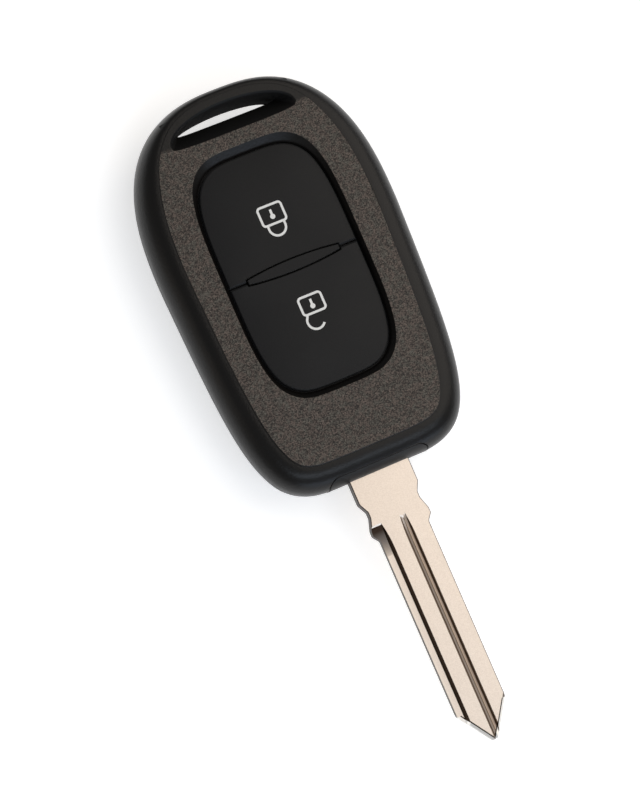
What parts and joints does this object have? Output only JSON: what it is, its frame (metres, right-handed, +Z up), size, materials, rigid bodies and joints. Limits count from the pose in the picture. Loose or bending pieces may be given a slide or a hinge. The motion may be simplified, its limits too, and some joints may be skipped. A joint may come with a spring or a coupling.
{
  "type": "car remote key",
  "caption": "Remote car key: an oval two-part plastic head with press keys, a slot for a key ring and a fixed milled metal blade.",
  "frame": {"origin": "centre of the bottom of the bounding box, on the surface that the key's back rests on", "axes": "+Z up out of the button face, +Y to the key-ring end with the blade along -Y, +X to the right seen from above"},
  "size_m": [0.0415, 0.113, 0.013],
  "materials": {
    "shell_front": "moulded ABS, finely grained face and satin border",
    "shell_rear": "moulded ABS, satin",
    "key_rubber": "matt silicone rubber",
    "symbol_white": "inlaid off-white print",
    "blade_nickel": "nickel-plated, finely brushed",
    "carrier_plastic": "moulded glass-filled nylon, satin",
    "pin_steel": "plain steel",
    "board_laminate": "green solder resist on glass-epoxy laminate",
    "cell_steel": "nickel-plated steel",
    "gasket_plastic": "moulded seal",
    "contact_metal": "tin-plated spring bronze",
    "chip_resin": "moulded epoxy",
    "crystal_can": "plated metal lid",
    "capacitor_ceramic": "fired ceramic",
    "resistor_ceramic": "glazed ceramic",
    "ferrite": "sintered ferrite",
    "copper_wire": "enamelled copper",
    "switch_plastic": "moulded nylon",
    "switch_steel": "stamped stainless steel",
    "plunger_plastic": "moulded nylon"
  },
  "bodies": {
    "fob_body": {"blade_carrier": "carrier_plastic", "button_pad": "key_rubber", "carrier_pin": "pin_steel", "cell_can": "cell_steel", "cell_cap": "cell_steel", "cell_gasket": "gasket_plastic", "ceramic_capacitors": "capacitor_ceramic", "chip_resistors": "resistor_ceramic", "circuit_board": "board_laminate", "controller_chip": "chip_resin", "crystal": "crystal_can", "front_shell": "shell_front", "key_blade": "blade_nickel", "lock_switch_body": "switch_plastic", "lock_switch_cover": "switch_steel", "lock_switch_dome": "switch_steel", "lock_switch_terminals": "contact_metal", "negative_contact": "contact_metal", "positive_contact": "contact_metal", "rear_shell": "shell_rear", "transponder_coil_core": "ferrite", "transponder_coil_winding": "copper_wire", "unlock_switch_body": "switch_plastic", "unlock_switch_cover": "switch_steel", "unlock_switch_dome": "switch_steel", "unlock_switch_terminals": "contact_metal"},
    "lock_key": {"lock_button": "key_rubber", "lock_symbol": "symbol_white"},
    "lock_plunger": {"lock_switch_plunger": "plunger_plastic"},
    "unlock_key": {"unlock_button": "key_rubber", "unlock_symbol": "symbol_white"},
    "unlock_plunger": {"unlock_switch_plunger": "plunger_plastic"}
  },
  "joints": [
    {"name": "lock_key_press", "type": "slide", "parent": "fob_body", "child": "lock_key", "axis": [0, 0, -1], "range_m": [0, 0.0004], "stiffness_N_per_m": 4000},
    {"name": "lock_plunger_press", "type": "slide", "parent": "fob_body", "child": "lock_plunger", "axis": [0, 0, -1], "range_m": [0, 0.00031]},
    {"name": "unlock_key_press", "type": "slide", "parent": "fob_body", "child": "unlock_key", "axis": [0, 0, -1], "range_m": [0, 0.0004], "stiffness_N_per_m": 4000},
    {"name": "unlock_plunger_press", "type": "slide", "parent": "fob_body", "child": "unlock_plunger", "axis": [0, 0, -1], "range_m": [0, 0.00031]}
  ],
  "couplings": [
    {"joint": "lock_plunger_press", "follows": "lock_key_press", "ratio": 0.75},
    {"joint": "unlock_plunger_press", "follows": "unlock_key_press", "ratio": 0.75}
  ]
}
